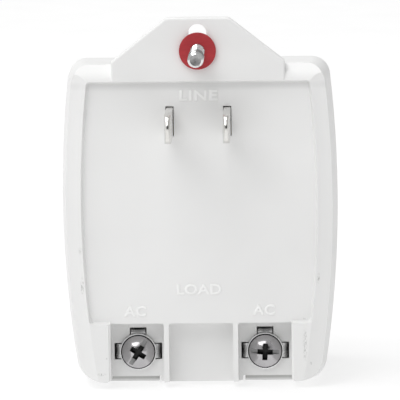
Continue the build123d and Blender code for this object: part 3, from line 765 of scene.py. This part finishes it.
def clamp_washer(hand):
    """A cupped washer with a rounded lip round the screw's head."""
    node = f"terminal_washer_{hand}"
    low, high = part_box(node)
    axis_x = (low[0] + high[0]) / 2
    axis_z = (low[2] + high[2]) / 2
    radius = (high[0] - low[0]) / 2
    base_y = high[1] - CLAMP_BASE
    lip = CLAMP_LIP / 2
    lip_y = low[1] + lip
    profile = [(CLAMP_BORE, high[1]), (radius, high[1]), (radius, lip_y)]
    for turn in (pi * step / ARC_STEPS for step in range(1, ARC_STEPS)):
        profile.append((radius - lip + lip * cos(turn), lip_y - lip * sin(turn)))
    profile += [(radius - 2 * lip, lip_y), (radius - 2 * lip, base_y), (CLAMP_BORE, base_y)]
    mesh = turned(f"{node}_cupped", profile, axis_x, axis_z, looped=True)
    for material in (finishes["clamp_nickel"], finishes["recess_shade"]):
        mesh.materials.append(material)
    axis = Vector((axis_x, 0, axis_z))
    # Faces inside the cup take painted shade, where the head shades the gap between it and the lip
    for face in mesh.polygons:
        out = Vector((face.center.x, 0, face.center.z)) - axis
        in_cup = out.length < radius - CLAMP_CUP_START * lip and face.center.y < high[1]
        face.material_index = 1 if in_cup else 0
    finished_piece(f"{node}_cupped", mesh, node)


def flat_outline(curve, points):
    """A closed run of straight lines on a flat curve."""
    line = curve.splines.new("POLY")
    line.points.add(len(points) - 1)
    for spot, (u, v) in zip(line.points, points):
        spot.co = (u, v, 0, 1)
    line.use_cyclic_u = True


def blade_side(tip_y, end_y, shoulder):
    """One side of a blade's outline, from its tail to its nose: places along and across."""
    tail_depth, tail = BLADE_TAIL
    tail_y = end_y - tail_depth
    shoulder_y = tail_y - BLADE_SHOULDER_DEPTH
    side = [(end_y, tail), (tail_y, tail), (tail_y, shoulder), (shoulder_y, shoulder)]
    side.append((shoulder_y, BLADE_HALF_WIDTH))
    for turn in (pi / 2 * step / ARC_STEPS for step in range(ARC_STEPS + 1)):
        along = tip_y + BLADE_NOSE_ROUND * (1 - sin(turn))
        side.append((along, BLADE_HALF_WIDTH - BLADE_NOSE_ROUND * (1 - cos(turn))))
    return side


def line_blade(hand):
    """A stamped line blade: round nose, coined thinner there, with a hole and rounded edges."""
    node = f"line_blade_{hand}"
    low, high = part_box(node)
    mid_x = (low[0] + high[0]) / 2
    tip_y = low[1]
    side = blade_side(tip_y, high[1], high[2])
    setback, hole = BLADE_HOLE
    angles = [-2 * pi * step / TURNED_SIDES for step in range(TURNED_SIDES)]
    curve = bpy.data.curves.new(node, "CURVE")
    curve.dimensions = "2D"
    curve.fill_mode = "BOTH"
    flat_outline(curve, side + [(y, -z) for y, z in reversed(side)])
    flat_outline(curve, [(tip_y + setback + hole * cos(angle), hole * sin(angle)) for angle in angles])
    curve.extrude = (high[0] - low[0]) / 2 - BLADE_EDGE
    curve.bevel_depth = BLADE_EDGE
    curve.bevel_resolution = BLADE_EDGE_STEPS
    curve.offset = -BLADE_EDGE
    mesh = made_plain(in_scene(node, curve))

    # The flat curve is stood up along the blade, and its end is coined thinner
    upright = Matrix(((0, 0, 1, mid_x), (1, 0, 0, 0), (0, 1, 0, 0), (0, 0, 0, 1)))
    form = bmesh.new()
    form.from_mesh(mesh)
    bmesh.ops.transform(form, matrix=upright, verts=form.verts[:])
    bmesh.ops.remove_doubles(form, verts=form.verts[:], dist=BLADE_WELD)
    bmesh.ops.recalc_face_normals(form, faces=form.faces[:])
    reach, thin = BLADE_NOSE
    bmesh.ops.bisect_plane(
        form,
        geom=form.verts[:] + form.edges[:] + form.faces[:],
        plane_co=(0, tip_y + reach, 0),
        plane_no=(0, 1, 0),
        dist=BLADE_WELD,
    )
    for spot in form.verts:
        share = min(1.0, (spot.co.y - tip_y) / reach)
        spot.co.x = mid_x + (spot.co.x - mid_x) * (thin + (1 - thin) * share)
    form.to_mesh(mesh)
    form.free()
    mesh.materials.clear()
    mesh.materials.append(finishes["blade_nickel"])
    finished_piece(f"{node}_rounded", mesh, node)


def raised_word(name, words, x, z, width):
    """A word that stands up from the plug panel, with rounded strokes."""
    curve = bpy.data.curves.new(name, "FONT")
    curve.body = words
    curve.size = WORD_HEIGHT
    curve.extrude = WORD_RAISE
    curve.space_character = WORD_SPACING
    curve.offset = WORD_WEIGHT
    curve.bevel_depth = WORD_ROUND
    curve.bevel_resolution = WORD_ROUND_STEPS
    mesh = made_plain(in_scene(name, curve))
    spots = [spot.co for spot in mesh.vertices]
    low_x, high_x = min(spot.x for spot in spots), max(spot.x for spot in spots)
    low_y, high_y = min(spot.y for spot in spots), max(spot.y for spot in spots)
    centred = Matrix.Translation((-(low_x + high_x) / 2, -(low_y + high_y) / 2, 0))
    fitted = Matrix.Diagonal((width / (high_x - low_x), WORD_HEIGHT / (high_y - low_y), 1, 1))
    upright = Matrix.Rotation(pi / 2, 4, "X")
    mesh.transform(Matrix.Translation((x, 0, z)) @ upright @ fitted @ centred)
    # The words take painted light: a lighter white than the housing's
    mesh.materials.clear()
    mesh.materials.append(finishes["word_white_lit"])
    piece = in_scene(name, mesh)
    mesh.shade_smooth()
    mesh.set_sharp_from_angle(angle=WORD_SHARP_EDGE)
    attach(piece, "housing")


def studio_floor():
    """A pale floor that glows, so that it shows white."""
    floor = bpy.data.meshes.new("studio_floor")
    form = bmesh.new()
    bmesh.ops.create_grid(form, x_segments=2, y_segments=2, size=FLOOR_HALF_WIDTH)
    form.to_mesh(floor)
    form.free()
    floor.transform(Matrix.Translation((0, 0, solid_box[0][2] - FLOOR_GAP)))
    stage = in_scene("studio_floor", floor)
    material, tree, shader, place = finish_material("floor_paper")
    speckle = noise(tree, place, scale=60.0)
    tree.links.new(tint(tree, speckle, FLOOR_DARK, FLOOR_LIGHT), shader.inputs["Base Color"])
    shader.inputs["Roughness"].default_value = FLOOR_ROUGHNESS
    shader.inputs["Specular IOR Level"].default_value = 0.0
    shader.inputs["Emission Color"].default_value = (1, 1, 1, 1)
    shader.inputs["Emission Strength"].default_value = FLOOR_GLOW
    floor.materials.append(material)


def studio_surround():
    """White behind the part; for light and reflections a pale surround with a dark part of the room."""
    world = bpy.data.worlds.new("studio")
    bpy.context.scene.world = world
    world.use_nodes = True
    tree = world.node_tree
    tree.nodes.clear()
    white = (1, 1, 1, 1)
    seen = named_node(tree, "ShaderNodeBackground", Color=white, Strength=1.0)
    heading = tree.nodes.new("ShaderNodeTexCoord").outputs["Generated"]
    parts = named_node(tree, "ShaderNodeSeparateXYZ", Vector=heading).outputs
    sideways = spread(tree, parts["X"], SURROUND_LEFT, SURROUND_RIGHT, (-1.0, 1.0))
    away = share_of_reach(tree, heading, ROOM_PLACE, ROOM_REACH)
    open_share = spread(tree, away, ROOM_DARK, 1.0, ROOM_EDGE)
    strength = worked_out(tree, "MULTIPLY", sideways, open_share)
    surround = named_node(tree, "ShaderNodeBackground", Color=white, Strength=strength)
    both = named_node(
        tree,
        "ShaderNodeMixShader",
        Fac=tree.nodes.new("ShaderNodeLightPath").outputs["Is Camera Ray"],
        i1=surround.outputs["Background"],
        i2=seen.outputs["Background"],
    )
    output = tree.nodes.new("ShaderNodeOutputWorld")
    tree.links.new(both.outputs["Shader"], output.inputs["Surface"])


def softbox(name, heading, width, power):
    """A round soft light that faces the part."""
    lamp = bpy.data.lights.new(name, "AREA")
    lamp.shape = "DISK"
    lamp.size = width
    lamp.energy = power
    toward = heading.normalized()
    place = Matrix.Translation(CAMERA_TARGET + LIGHT_DISTANCE * toward)
    facing = (-toward).to_track_quat("-Z", "Y").to_matrix().to_4x4()
    in_scene(name, lamp).matrix_world = place @ facing


def photograph_camera():
    """The camera stands where the photograph was taken."""
    back = Vector(
        (
            sin(CAMERA_AZIMUTH) * cos(CAMERA_ELEVATION),
            -cos(CAMERA_AZIMUTH) * cos(CAMERA_ELEVATION),
            sin(CAMERA_ELEVATION),
        )
    )
    level = Vector((cos(CAMERA_AZIMUTH), sin(CAMERA_AZIMUTH), 0))
    upright = back.cross(level)
    right = cos(CAMERA_ROLL) * level + sin(CAMERA_ROLL) * upright
    up = cos(CAMERA_ROLL) * upright - sin(CAMERA_ROLL) * level
    lens = bpy.data.cameras.new("photograph_camera")
    lens.sensor_width = SENSOR
    lens.lens = CAMERA_FOCUS_PIXELS / PICTURE_SIDE * SENSOR
    lens.clip_end = CAMERA_REACH
    camera = in_scene("photograph_camera", lens)
    facing = Matrix((right, up, back)).transposed().to_4x4()
    camera.matrix_world = Matrix.Translation(CAMERA_TARGET + CAMERA_DISTANCE * back) @ facing
    bpy.context.scene.camera = camera


finishes = dress_solids()
thread, thread_ids = thread_tree()

mounting_screw()
for hand in ("left", "right"):
    terminal_screw(hand)
    clamp_washer(hand)
    line_blade(hand)
for name, words, x, z, width in PANEL_WORDS:
    raised_word(name, words, x, z, width)

studio_floor()
studio_surround()
softbox("front_light", FRONT_LIGHT_HEADING, FRONT_LIGHT_WIDTH, FRONT_LIGHT_POWER)
softbox("top_light", TOP_LIGHT_HEADING, TOP_LIGHT_WIDTH, TOP_LIGHT_POWER)
photograph_camera()
bpy.context.scene.view_settings.view_transform = "Standard"
